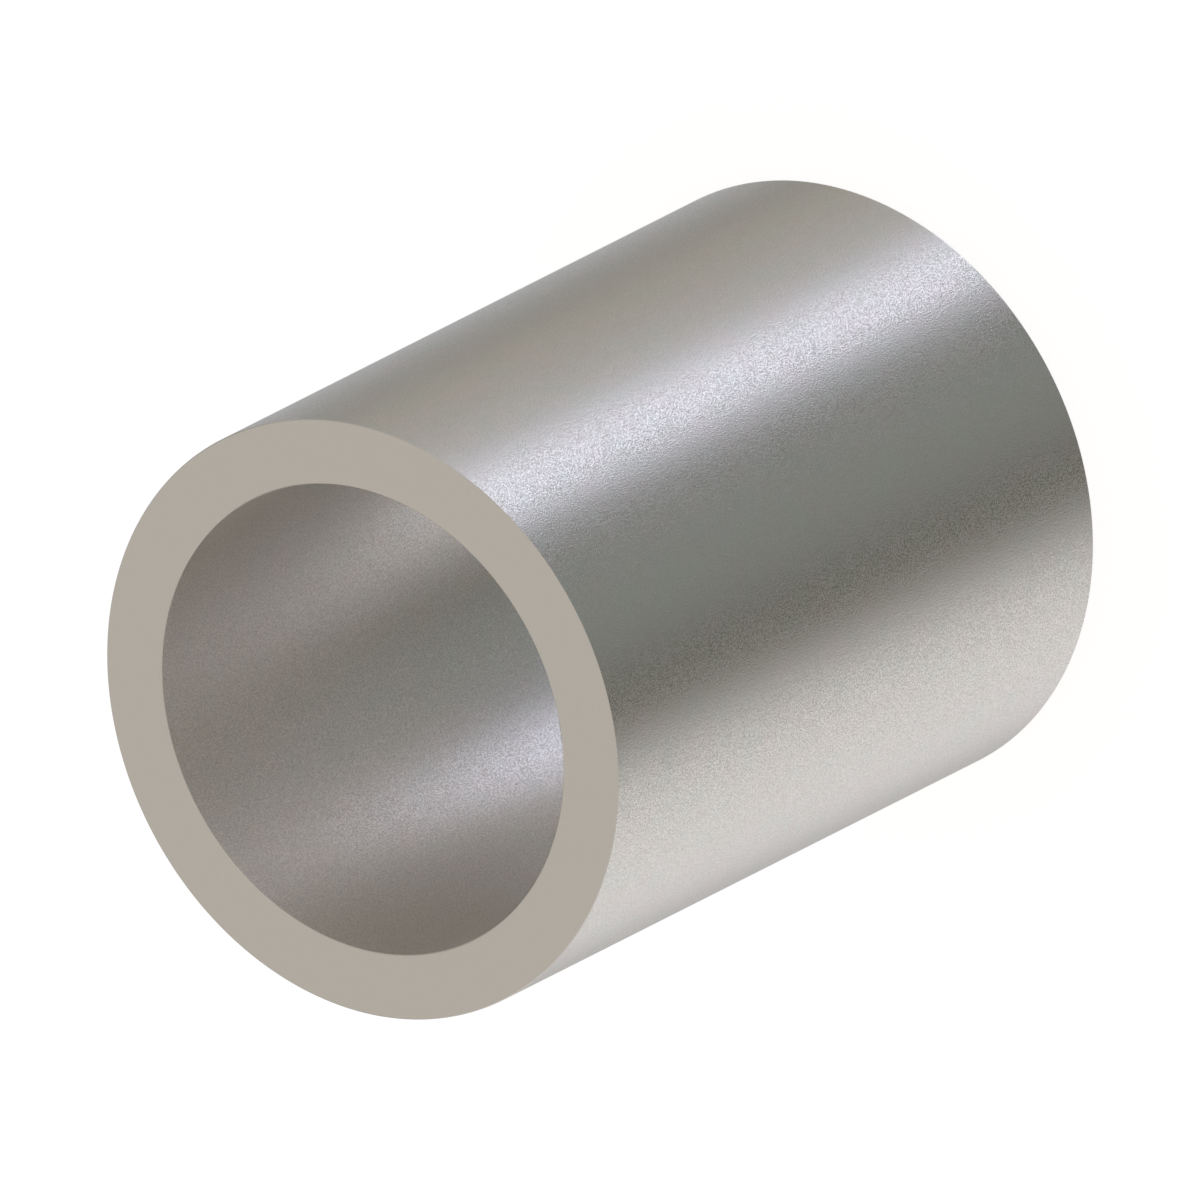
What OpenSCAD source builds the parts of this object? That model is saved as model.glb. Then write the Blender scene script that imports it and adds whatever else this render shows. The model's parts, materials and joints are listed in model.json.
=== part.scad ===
// Plain sleeve bushing: a short round tube, turned from one piece of steel and cut off square.
// It is modelled as it stands on one end, with the bore's axis on Z and the lower end face at z = 0.

/* [Sleeve] */
// Outside diameter, which the housing holds
outer_d = 13; // [12:0.1:24]
// Bore diameter, a clearance hole for a 10 mm bolt
bore_d = 10.2; // [4:0.1:11]
// Length from end face to end face
length = 17; // [4:0.5:60]

/* [Edges] */
// Width and height of the narrow bevel that deburring leaves on all four edges
edge_break = 0.02; // [0.01:0.01:0.2]

/* [Hidden] */
// Names of the pieces: the bushing is one piece
// Piece to draw, or all of them
// Segments in a full turn
$fn = 180;
// Radii of the two round walls
outer_r = outer_d / 2;
bore_r = bore_d / 2;

// Section of the wall beside the axis: a rectangle with its four corners cut off
module wall_section() {
    polygon([
        [bore_r, edge_break],
        [bore_r + edge_break, 0],
        [outer_r - edge_break, 0],
        [outer_r, edge_break],
        [outer_r, length - edge_break],
        [outer_r - edge_break, length],
        [bore_r + edge_break, length],
        [bore_r, length - edge_break]
    ]);
}

// The whole bushing: the section turned once round the bore's axis, in warm satin steel
module sleeve() {
    color("#AFA89E")
        rotate_extrude()
            wall_section();
}

sleeve();
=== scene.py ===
# %% [markdown]
# # A plain sleeve bushing in satin steel
#
# The object is a short steel tube, 13 mm across and 17 mm long, with a 10.2 mm bore right through it.
# It is pressed into a housing and lines the hole that a 10 mm bolt passes through. It is one turned
# piece, so there is nothing to assemble, and all of its looks lie in how satin metal takes the light.
#
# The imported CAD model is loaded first. Every size below comes from it, so the dressed sleeve lies
# exactly where the CAD sleeve does.

# %% Load the frame and read the sizes
import json
import math

import bpy
from mathutils import Matrix, Vector


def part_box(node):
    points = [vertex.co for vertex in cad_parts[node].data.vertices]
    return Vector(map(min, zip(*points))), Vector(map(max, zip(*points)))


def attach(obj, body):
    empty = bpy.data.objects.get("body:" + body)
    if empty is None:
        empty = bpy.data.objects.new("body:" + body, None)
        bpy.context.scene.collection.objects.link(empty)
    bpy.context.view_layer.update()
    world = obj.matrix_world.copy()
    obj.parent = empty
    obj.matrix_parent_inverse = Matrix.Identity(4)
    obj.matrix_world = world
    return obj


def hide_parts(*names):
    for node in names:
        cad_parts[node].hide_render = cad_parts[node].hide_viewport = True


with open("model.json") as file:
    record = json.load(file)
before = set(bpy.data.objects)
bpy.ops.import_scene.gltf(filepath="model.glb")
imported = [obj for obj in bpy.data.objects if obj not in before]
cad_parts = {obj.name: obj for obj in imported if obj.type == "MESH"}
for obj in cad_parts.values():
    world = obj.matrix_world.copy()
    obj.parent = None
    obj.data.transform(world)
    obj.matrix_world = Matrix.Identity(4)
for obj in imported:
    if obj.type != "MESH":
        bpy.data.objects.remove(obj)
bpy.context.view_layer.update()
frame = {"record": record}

MM = 0.001  # one millimetre in Blender's metres
low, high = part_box("sleeve")
mounts = {mount["name"]: mount["dims"] for mount in frame["record"]["mounts"]}
LENGTH = high.z - low.z
OUTER_RADIUS = mounts["outer_wall"]["r_mm"] * MM
BORE_RADIUS = mounts["bore"]["r_mm"] * MM
EDGE_BREAK = (LENGTH - mounts["bore"]["length_mm"] * MM) / 2
print(f"outside {2 * OUTER_RADIUS / MM:.2f} mm, bore {2 * BORE_RADIUS / MM:.2f} mm, "
      f"length {LENGTH / MM:.2f} mm, edge break {EDGE_BREAK / MM:.3f} mm")

# %% [markdown]
# ## The camera
#
# The picture is a parallel projection: the two sides of the tube run exactly parallel. So the camera
# is orthographic, and its distance doesn't matter. Its line of sight leans 40.4 degrees away from the
# bore's axis. In the picture the tube lies aslant, with its end face at the lower left, while the
# sleeve stands on its end here, so the camera is rolled about its line of sight.

# %% Place the camera
VIEW_LEAN = math.radians(40.43)    # between the line of sight and the bore's axis
VIEW_ROLL = math.radians(-116.75)  # turns the standing sleeve to the slant that the picture shows
PICTURE_SIDE = 24.857 * MM         # what the square picture spans
CAMERA_DISTANCE = 100 * MM

camera_data = bpy.data.cameras.new("camera")
camera_data.type = "ORTHO"
camera_data.ortho_scale = PICTURE_SIDE
camera_data.clip_start = MM
camera = bpy.data.objects.new("camera", camera_data)
bpy.context.scene.collection.objects.link(camera)
bpy.context.scene.camera = camera
middle = Vector((0, 0, LENGTH / 2))
turn = Matrix.Rotation(VIEW_LEAN, 4, "X") @ Matrix.Rotation(VIEW_ROLL, 4, "Z")
camera.matrix_world = Matrix.Translation(middle + turn.col[2].xyz * CAMERA_DISTANCE) @ turn
bpy.context.scene.view_settings.view_transform = "Standard"
print("camera looks along", [round(c, 3) for c in -turn.col[2].xyz])

# %% [markdown]
# ## Two small helpers
#
# Colours are written as they look on a screen, in hex, and Blender's nodes want them linear. One
# function turns one into the other. The other adds a node to any tree, shader or geometry, sets its
# options and fills its inputs, either with a value or with a link from another node.

# %% Helpers for colours and nodes
def linear(hex_colour):
    """A screen colour such as "#AFA89E" as linear red, green, blue and alpha."""
    shares = [int(hex_colour[i:i + 2], 16) / 255 for i in (1, 3, 5)]
    return tuple(s / 12.92 if s <= 0.04045 else ((s + 0.055) / 1.055) ** 2.4 for s in shares) + (1.0,)


def add_node(tree, kind, inputs=None, **options):
    """Adds a node to a tree. Each input, named or numbered, takes a value or another node's output."""
    node = tree.nodes.new(kind)
    for name, option in options.items():
        setattr(node, name, option)
    for socket, value in (inputs or {}).items():
        if isinstance(value, bpy.types.NodeSocket):
            tree.links.new(value, node.inputs[socket])
        else:
            node.inputs[socket].default_value = value
    return node


print("linear value of mid grey:", round(linear("#808080")[0], 3))

# %% [markdown]
# ## The studio
#
# Satin metal has hardly a colour of its own: what the eye reads as its shading is a blurred picture of
# the room. The photograph shows bands that run along the tube, so the room was a ring of tall soft
# panels round it, and the end face mirrors an even, slightly warm light overhead. Lamps could stand
# there, but area lamps have hard edges and show from one side only. So the world shader draws the
# ring from the direction of each ray alone: a dim surround, and tall panels with soft edges.

# %% List the panels
# Azimuth is counted from the camera's side, anticlockwise seen from above. Azimuth, half width and
# soft edge are in degrees. A panel's colour is multiplied by its strength.
SURROUND = ("#FFF2A0", 0.062)
OVERHEAD = ("#FFFAF5", 0.67)
PANELS = {
    "key strip": {"azimuth": 52.5, "half": 4, "soft": 10, "colour": "#E1E6FF", "strength": 2.62},
    "broad panel": {"azimuth": -103, "half": 18, "soft": 45, "colour": "#F3F4FF", "strength": 1.06},
    "front fill": {"azimuth": -2, "half": 7, "soft": 27, "colour": "#E3F1FF", "strength": 0.285},
    "side fill": {"azimuth": 97, "half": 21, "soft": 8, "colour": "#FBF9F9", "strength": 0.435},
    "back fill": {"azimuth": 166, "half": 4, "soft": 39, "colour": "#E3E9FA", "strength": 0.75},
}
OVERHEAD_STARTS = math.radians(0)  # elevation at which the overhead light sets in
OVERHEAD_FULL = math.radians(15)   # elevation above which there is nothing else


def light_colour(hex_colour, strength):
    """What a panel sends out, as a vector of linear red, green and blue."""
    return tuple(c * strength for c in linear(hex_colour)[:3])


print("studio:", ", ".join(PANELS))

# %% [markdown]
# ### The ring of panels
#
# A ray's direction is laid flat and compared with the direction of each panel. Their dot product is
# the cosine of the angle between them, and Map Range turns it into the panel's share: one inside the
# half width, nothing beyond the soft edge. The shares are added up one panel after the other.

# %% Draw the ring
world = bpy.data.worlds.new("studio")
bpy.context.scene.world = world
world.use_nodes = True
tree = world.node_tree
tree.nodes.clear()

way = add_node(tree, "ShaderNodeTexCoord").outputs["Generated"]
laid_flat = add_node(tree, "ShaderNodeVectorMath", {0: way, 1: (1, 1, 0)}, operation="MULTIPLY")
flat_way = add_node(tree, "ShaderNodeVectorMath", {0: laid_flat.outputs[0]}, operation="NORMALIZE")
ring = add_node(tree, "ShaderNodeCombineXYZ", dict(enumerate(light_colour(*SURROUND)))).outputs[0]
for name, panel in PANELS.items():
    azimuth = math.radians(panel["azimuth"])
    aim = (math.sin(azimuth), -math.cos(azimuth), 0)
    facing = add_node(tree, "ShaderNodeVectorMath", {
        0: flat_way.outputs[0],
        1: aim,
    }, operation="DOT_PRODUCT")
    share = add_node(tree, "ShaderNodeMapRange", {
        "Value": facing.outputs["Value"],
        "From Min": math.cos(math.radians(panel["half"] + panel["soft"])),
        "From Max": math.cos(math.radians(panel["half"])),
    }, interpolation_type="SMOOTHSTEP")
    ring = add_node(tree, "ShaderNodeVectorMath", {
        0: share.outputs[0],
        1: light_colour(panel["colour"], panel["strength"]),
        2: ring,
    }, operation="MULTIPLY_ADD", label=name).outputs[0]
print("world nodes so far:", len(tree.nodes))

# %% [markdown]
# ### The light overhead and the white page
#
# Seen from above, the walls of a standing tube mirror what lies below the horizon, and its upper end
# what lies above. So the ring is full up to the horizon, and soon above it fades into the overhead
# light. The page behind the object is pure white, and only the camera sees it, by Light Path's Is
# Camera Ray at a strength of 1. The metal of the photograph doesn't mirror a white page: it shows the
# dim room between the panels, as dark bands, so here too the reflections see the studio and not the
# page.

# %% Finish the world
height = add_node(tree, "ShaderNodeSeparateXYZ", {0: way}).outputs["Z"]
overhead = add_node(tree, "ShaderNodeMapRange", {
    "Value": height,
    "From Min": math.sin(OVERHEAD_STARTS),
    "From Max": math.sin(OVERHEAD_FULL),
}, interpolation_type="SMOOTHSTEP")
room = add_node(tree, "ShaderNodeMix", {
    "Factor": overhead.outputs[0],
    "A": ring,
    "B": light_colour(*OVERHEAD),
}, data_type="VECTOR")
room_light = add_node(tree, "ShaderNodeBackground", {"Color": room.outputs["Result"]})
page = add_node(tree, "ShaderNodeBackground", {"Color": linear("#FFFFFF")})
seen = add_node(tree, "ShaderNodeLightPath").outputs["Is Camera Ray"]
either = add_node(tree, "ShaderNodeMixShader", {0: seen, 1: room_light.outputs[0], 2: page.outputs[0]})
add_node(tree, "ShaderNodeOutputWorld", {"Surface": either.outputs[0]})
print("world nodes:", len(tree.nodes))

# %% [markdown]
# ## The floor
#
# The sleeve stands on a plain sheet of uncoated white paper, which is matt: it spreads the light
# evenly and mirrors nothing. A white sheet under a lamp could be lit until it is white, but that light
# would fall on the object too. So the paper is a pale grey, and a glow that only the camera sees
# brings the open sheet up to the white of the page. The shadow where the sleeve meets the paper
# stays. The photograph shows the studio's panels mirrored from below the horizon, where this sheet
# lies, so the sheet is left out of reflections and doesn't shade the panels.

# %% Lay the floor
FLOOR_HALF = 2.0  # metres
PAPER_GREY = "#B3B3B3"
PAPER_GLOW = 0.765  # what the lit paper lacks to white

corners = [(-1, -1), (1, -1), (1, 1), (-1, 1)]
floor_mesh = bpy.data.meshes.new("floor")
places = [(x * FLOOR_HALF, y * FLOOR_HALF, low.z) for x, y in corners]
floor_mesh.from_pydata(places, [], [(0, 1, 2, 3)])
floor = bpy.data.objects.new("floor", floor_mesh)
bpy.context.scene.collection.objects.link(floor)
floor.visible_glossy = False
floor.visible_shadow = False

paper = bpy.data.materials.new("white paper")
paper.use_nodes = True
tree = paper.node_tree
tree.nodes.clear()
lit = add_node(tree, "ShaderNodeBsdfDiffuse", {"Color": linear(PAPER_GREY)})
glow = add_node(tree, "ShaderNodeEmission", {"Strength": PAPER_GLOW})
both = add_node(tree, "ShaderNodeAddShader", {0: lit.outputs[0], 1: glow.outputs[0]})
seen = add_node(tree, "ShaderNodeLightPath").outputs["Is Camera Ray"]
either = add_node(tree, "ShaderNodeMixShader", {0: seen, 1: lit.outputs[0], 2: both.outputs[0]})
add_node(tree, "ShaderNodeOutputMaterial", {"Surface": either.outputs[0]})
floor_mesh.materials.append(paper)
print("floor at height", low.z)

# %% [markdown]
# ## The steel
#
# The bushing is stainless steel, turned and then blasted with fine beads. Blasting leaves a dense
# grain of tiny dents. Most are too small to see and only blur the reflections, which is what a shader
# calls roughness: about 0.3 to 0.5 on blasted steel. The coarsest dents are just visible as a fine
# sparkle where a bright panel meets a dark one. Stainless steel sends back about two thirds of the
# light, slightly more red than blue.
#
# Three surfaces differ. The outer wall is plain blasted steel. The bore was reamed before blasting.
# Its tint is painted lighter than the outer wall's: painted light, which keeps the bore bright where
# light bouncing down it would leave it darker. The ends were faced on the lathe afterwards and their
# edges broken: they have hardly any dents, and keep the fine rings that the tool left as it crossed
# the wall.
#
# A photograph could be laid over each surface instead, but it would hold its own light and shade.
# Patterns worked out by nodes have none, and stay sharp at any distance.

# %% Choose the finishes
# Each finish has a warm and a cool tint, the roughness of its smooth and its rough dents, how much
# lighter or darker they are, and how deep in millimetres. Fine bead blasting leaves 0.002 to 0.004 mm.
FINISHES = {
    # bead-blasted: broad soft bands of light, with a fine sandy sparkle along the brightest
    "blasted steel": {
        "warm": "#D5CFC6", "cool": "#D2D0C6",
        "smooth": 0.30, "rough": 0.50, "shade": 0.05, "depth": 0.0035,
    },
    # reamed, then blasted: softer bands and a more even grain; its tint is painted lighter, as painted
    # light that keeps the bore bright
    "blasted steel bore painted lighter": {
        "warm": "#E7E1DA", "cool": "#E4E1DA",
        "smooth": 0.405, "rough": 0.515, "shade": 0.09, "depth": 0.002,
    },
    # faced on a lathe: one calm grey all over, with rings that only a close look finds
    "faced steel": {
        "warm": "#D5D0C8", "cool": "#D3D0C8",
        "smooth": 0.36, "rough": 0.40, "shade": 0.005, "depth": 0.0005,
    },
}
print("finishes:", ", ".join(FINISHES))

# %% [markdown]
# ### Clouds
#
# No blasting is quite even, so the steel has faint clouds of a slightly warmer or cooler grey. They
# could be painted by hand, but a soft noise makes them from one number. It shifts the colour between
# the warm and the cool tint of the finish. Every pattern here reads Object coordinates, in metres, so
# its scale is one over its real size.

# %% Faint clouds
CLOUD = 0.7 * MM  # width of a cloud


def add_clouds(tree, place, warm, cool):
    """Faint clouds: a colour that wanders between a warm and a cool tint."""
    least, most = 0.35, 0.65  # nearly all of the noise lies between these
    noise = add_node(tree, "ShaderNodeTexNoise", {
        "Vector": place,
        "Scale": 1 / CLOUD,
        "Detail": 2.0,
    })
    share = add_node(tree, "ShaderNodeMapRange", {
        "Value": noise.outputs[0],
        "From Min": least,
        "From Max": most,
    })
    mix = add_node(tree, "ShaderNodeMix", {
        "Factor": share.outputs[0],
        "A": linear(warm),
        "B": linear(cool),
    }, data_type="RGBA")
    return mix.outputs["Result"]


print("clouds", round(CLOUD / MM, 2), "mm wide")

# %% [markdown]
# ### Grain
#
# Each bead leaves a dent. There are hundreds of thousands, too many to model and too small to change
# the outline, so they are a noise as fine as the dents. It does three things at once: a Bump node
# turns it into slopes, each dent is a little lighter or darker than the next, and a little smoother
# or rougher. The middle of the noise is stretched, so that most dents are plainly one or the other.

# %% Grain of tiny dents
# Most dents are too fine to show, so the grain is drawn as coarse as the coarsest ones.
GRAIN = 0.032 * MM


def add_grain(tree, place, colour, finish):
    """The grain of tiny dents: colour, roughness and bumped normal."""
    least, most = 0.41, 0.59  # the middle of the noise, which is stretched
    grain = add_node(tree, "ShaderNodeTexNoise", {
        "Vector": place,
        "Scale": 1 / GRAIN,
        "Detail": 0.0,
    }, label="grain").outputs[0]
    shade = add_node(tree, "ShaderNodeMapRange", {
        "Value": grain,
        "From Min": least,
        "From Max": most,
        "To Min": 1 - finish["shade"],
        "To Max": 1 + finish["shade"],
    }, label="shade")
    shaded = add_node(tree, "ShaderNodeVectorMath", {
        0: colour,
        "Scale": shade.outputs[0],
    }, operation="SCALE")
    roughness = add_node(tree, "ShaderNodeMapRange", {
        "Value": grain,
        "From Min": least,
        "From Max": most,
        "To Min": finish["rough"],
        "To Max": finish["smooth"],
    }, label="roughness")
    bump = add_node(tree, "ShaderNodeBump", {
        "Height": grain,
        "Distance": finish["depth"] * MM,
    }, label="bump")
    return shaded.outputs[0], roughness.outputs[0], bump.outputs[0]


print("grain", round(GRAIN / MM, 3), "mm wide")

# %% [markdown]
# ### Rings
#
# A facing tool moves outwards by its feed while the work turns once, and leaves one shallow groove
# for each turn. A Wave texture has a rings mode, but its scale isn't a plain length. A sine of the
# distance from the bore's axis takes the feed in millimetres, and the Bump node lays it on top of
# the grain.

# %% Rings of the facing tool
TOOL_FEED = 0.08 * MM     # spacing of the rings
TOOL_DEPTH = 0.0004 * MM  # height of the rings


def add_rings(tree, place, normal):
    """The facing tool's rings, bumped on top of a normal."""
    flat = add_node(tree, "ShaderNodeVectorMath", {0: place, 1: (1, 1, 0)}, operation="MULTIPLY")
    radius = add_node(tree, "ShaderNodeVectorMath", {0: flat.outputs[0]}, operation="LENGTH")
    phase = add_node(tree, "ShaderNodeMath", {
        0: radius.outputs["Value"],
        1: math.tau / TOOL_FEED,
    }, operation="MULTIPLY")
    wave = add_node(tree, "ShaderNodeMath", {0: phase.outputs[0]}, operation="SINE")
    bump = add_node(tree, "ShaderNodeBump", {
        "Height": wave.outputs[0],
        "Distance": TOOL_DEPTH,
        "Normal": normal,
    })
    return bump.outputs[0]


print("rings", round(TOOL_FEED / MM, 3), "mm apart")

# %% [markdown]
# ### Three materials from one recipe
#
# The metal is the same everywhere, so one loop makes all three materials, and only the numbers of
# each finish differ. Metallic is 1 and the IOR keeps its default, because a metal's mirror colour
# comes from its base colour alone. Only the faced ends get the rings.

# %% Make the three finishes
steels = {}
for name, finish in FINISHES.items():
    steel = bpy.data.materials.new(name)
    steel.use_nodes = True
    tree = steel.node_tree
    tree.nodes.clear()
    place = add_node(tree, "ShaderNodeTexCoord").outputs["Object"]
    colour = add_clouds(tree, place, finish["warm"], finish["cool"])
    colour, roughness, normal = add_grain(tree, place, colour, finish)
    if name == "faced steel":
        normal = add_rings(tree, place, normal)
    shader = add_node(tree, "ShaderNodeBsdfPrincipled", {
        "Base Color": colour,
        "Metallic": 1.0,
        "Roughness": roughness,
        "Normal": normal,
    })
    add_node(tree, "ShaderNodeOutputMaterial", {"Surface": shader.outputs[0]})
    steels[name] = steel
    print(name, "has", len(tree.nodes), "nodes")

# %% [markdown]
# ## The sleeve
#
# A lathe makes this piece, so its shape follows one rule: one section of the wall, the same all the
# way round the axis. Two cylinders and a Boolean would do, but leave long thin faces and no edge
# breaks. Spinning a profile by hand works once. Here Geometry Nodes sweep the section round a circle,
# so each size stays a named input, and the section is drawn once for both walls and both ends.
#
# The inputs are declared first.

# %% Name the inputs
SEGMENTS = 256  # round the circle: enough for a smooth outline at 1024 pixels

group = bpy.data.node_groups.new("turned sleeve", "GeometryNodeTree")
INPUTS = {
    "Outer Radius": ("NodeSocketFloat", OUTER_RADIUS),
    "Bore Radius": ("NodeSocketFloat", BORE_RADIUS),
    "Length": ("NodeSocketFloat", LENGTH),
    "Edge Break": ("NodeSocketFloat", EDGE_BREAK),
    "Segments": ("NodeSocketInt", SEGMENTS),
    "Outer Finish": ("NodeSocketMaterial", steels["blasted steel"]),
    # the bore's steel, its tint painted lighter as painted light that keeps the bore bright
    "Bore Finish": ("NodeSocketMaterial", steels["blasted steel bore painted lighter"]),
    "End Finish": ("NodeSocketMaterial", steels["faced steel"]),
}
for name, (kind, value) in INPUTS.items():
    group.interface.new_socket(name, in_out="INPUT", socket_type=kind)
group.interface.new_socket("Geometry", in_out="OUTPUT", socket_type="NodeSocketGeometry")
given = add_node(group, "NodeGroupInput").outputs
print("inputs:", ", ".join(INPUTS))

# %% [markdown]
# ### Path and section
#
# The path is a circle through the middle of the wall. The section is a rectangle as wide as the wall
# and as high as the sleeve. Deburring breaks the four sharp edges by a few hundredths of a millimetre.
# Fillet Curve in Poly mode, with a count of one, cuts each corner straight across into such a bevel.

# %% Draw the path and the section
middle_radius = add_node(group, "ShaderNodeMix", {
    "Factor": 0.5,
    "A": given["Outer Radius"],
    "B": given["Bore Radius"],
})
wall = add_node(group, "ShaderNodeMath", {
    0: given["Outer Radius"],
    1: given["Bore Radius"],
}, operation="SUBTRACT")
path = add_node(group, "GeometryNodeCurvePrimitiveCircle", {
    "Resolution": given["Segments"],
    "Radius": middle_radius.outputs["Result"],
})
section = add_node(group, "GeometryNodeCurvePrimitiveQuadrilateral", {
    "Width": wall.outputs[0],
    "Height": given["Length"],
})
section = add_node(group, "GeometryNodeFilletCurve", {
    "Curve": section.outputs[0],
    "Count": 1,
    "Radius": given["Edge Break"],
}, mode="POLY")
print("wall", round((OUTER_RADIUS - BORE_RADIUS) / MM, 2), "mm thick")

# %% [markdown]
# ### Sweep, stand and shade
#
# Curve to Mesh sweeps the section round the path, centred on the origin, so the tube is lifted by
# half its length to stand on its lower end. Its faces are smooth except across the sharp turns at the
# edge breaks. Those edges are found by their angle and made crisp, so the walls look round and the
# ends flat.

# %% Sweep the section and shade it
CRISP_ANGLE = math.radians(20)  # the walls turn by 1.4 degrees from face to face, the edges by 45

swept = add_node(group, "GeometryNodeCurveToMesh", {
    "Curve": path.outputs[0],
    "Profile Curve": section.outputs[0],
})
half_length = add_node(group, "ShaderNodeMath", {0: given["Length"], 1: 0.5}, operation="MULTIPLY")
lift = add_node(group, "ShaderNodeCombineXYZ", {"Z": half_length.outputs[0]})
stood = add_node(group, "GeometryNodeTransform", {
    "Geometry": swept.outputs[0],
    "Translation": lift.outputs[0],
})
bend = add_node(group, "GeometryNodeInputMeshEdgeAngle")
sharp = add_node(group, "ShaderNodeMath", {
    0: bend.outputs["Unsigned Angle"],
    1: CRISP_ANGLE,
}, operation="GREATER_THAN")
shaded = add_node(group, "GeometryNodeSetShadeSmooth", {
    "Geometry": stood.outputs[0],
    "Selection": sharp.outputs[0],
    "Shade Smooth": False,
}, domain="EDGE")
print("crisp above", round(math.degrees(CRISP_ANGLE)), "degrees")

# %% [markdown]
# ### A finish for each surface
#
# The finishes are told apart by where each face looks. The ends look straight up or down and their
# edge breaks aslant, and all of them were cut last, on the lathe. In the bore, the normal points
# towards the axis, against the face's own position. All the rest is the outer wall. The tree ends in
# Realize Instances and Set Material.

# %% Hand out the finishes
END_FACING = 0.6  # least upright share of the normal on an end; on an edge break it is 0.7

normal = add_node(group, "GeometryNodeInputNormal").outputs[0]
place = add_node(group, "GeometryNodeInputPosition").outputs[0]
upright = add_node(group, "ShaderNodeSeparateXYZ", {0: normal})
steepness = add_node(group, "ShaderNodeMath", {0: upright.outputs["Z"]}, operation="ABSOLUTE")
is_end = add_node(group, "ShaderNodeMath", {
    0: steepness.outputs[0],
    1: END_FACING,
}, operation="GREATER_THAN")
flat_normal = add_node(group, "ShaderNodeVectorMath", {0: normal, 1: (1, 1, 0)}, operation="MULTIPLY")
outward = add_node(group, "ShaderNodeVectorMath", {
    0: flat_normal.outputs[0],
    1: place,
}, operation="DOT_PRODUCT")
is_bore = add_node(group, "ShaderNodeMath", {
    0: outward.outputs["Value"],
    1: 0.0,
}, operation="LESS_THAN")
finished = add_node(group, "GeometryNodeRealizeInstances", {"Geometry": shaded.outputs[0]})
for finish, where in (
    ("Outer Finish", True),
    ("Bore Finish", is_bore.outputs[0]),
    ("End Finish", is_end.outputs[0]),
):
    finished = add_node(group, "GeometryNodeSetMaterial", {
        "Geometry": finished.outputs[0],
        "Selection": where,
        "Material": given[finish],
    })
add_node(group, "NodeGroupOutput", {"Geometry": finished.outputs[0]})
print("geometry nodes:", len(group.nodes))

# %% [markdown]
# ### Run the tree
#
# The tree sits in a modifier on a blank object. Each input is set by its identifier, because names
# needn't be unique. The evaluated result becomes a plain mesh, and the blank goes, modifier and all.

# %% Turn the sleeve
blank = bpy.data.objects.new("blank", bpy.data.meshes.new("blank"))
bpy.context.scene.collection.objects.link(blank)
maker = blank.modifiers.new("turned sleeve", "NODES")
maker.node_group = group
identifiers = {s.name: s.identifier for s in group.interface.items_tree if s.in_out == "INPUT"}
for name, (kind, value) in INPUTS.items():
    maker[identifiers[name]] = value
bpy.context.view_layer.update()
mesh = bpy.data.meshes.new_from_object(blank.evaluated_get(bpy.context.evaluated_depsgraph_get()))
sleeve = bpy.data.objects.new("steel_sleeve", mesh)
bpy.context.scene.collection.objects.link(sleeve)
bpy.data.objects.remove(blank)
print("sleeve:", len(mesh.vertices), "vertices,", len(mesh.polygons), "faces")

# %% [markdown]
# ### Check what was made
#
# The radii and heights must be those of the CAD model, and every face must point out of the steel:
# away from the middle of the wall's section.

# %% Measure the sleeve
radii = [vertex.co.xy.length for vertex in mesh.vertices]
heights = [vertex.co.z for vertex in mesh.vertices]
print(f"radii {min(radii) / MM:.3f} to {max(radii) / MM:.3f} mm")
print(f"heights {min(heights) / MM:.3f} to {max(heights) / MM:.3f} mm")

heart_radius = (OUTER_RADIUS + BORE_RADIUS) / 2
facing_in = 0
for face in mesh.polygons:
    heart = face.center.copy()
    heart.z = 0
    heart = heart.normalized() * heart_radius + middle
    facing_in += face.normal.dot(face.center - heart) < 0
print("faces that point inwards:", facing_in)
for index, steel in enumerate(mesh.materials):
    print(steel.name, "on", sum(face.material_index == index for face in mesh.polygons), "faces")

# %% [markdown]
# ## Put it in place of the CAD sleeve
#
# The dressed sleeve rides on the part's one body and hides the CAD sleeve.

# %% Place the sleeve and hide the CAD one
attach(sleeve, "root")
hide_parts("sleeve")
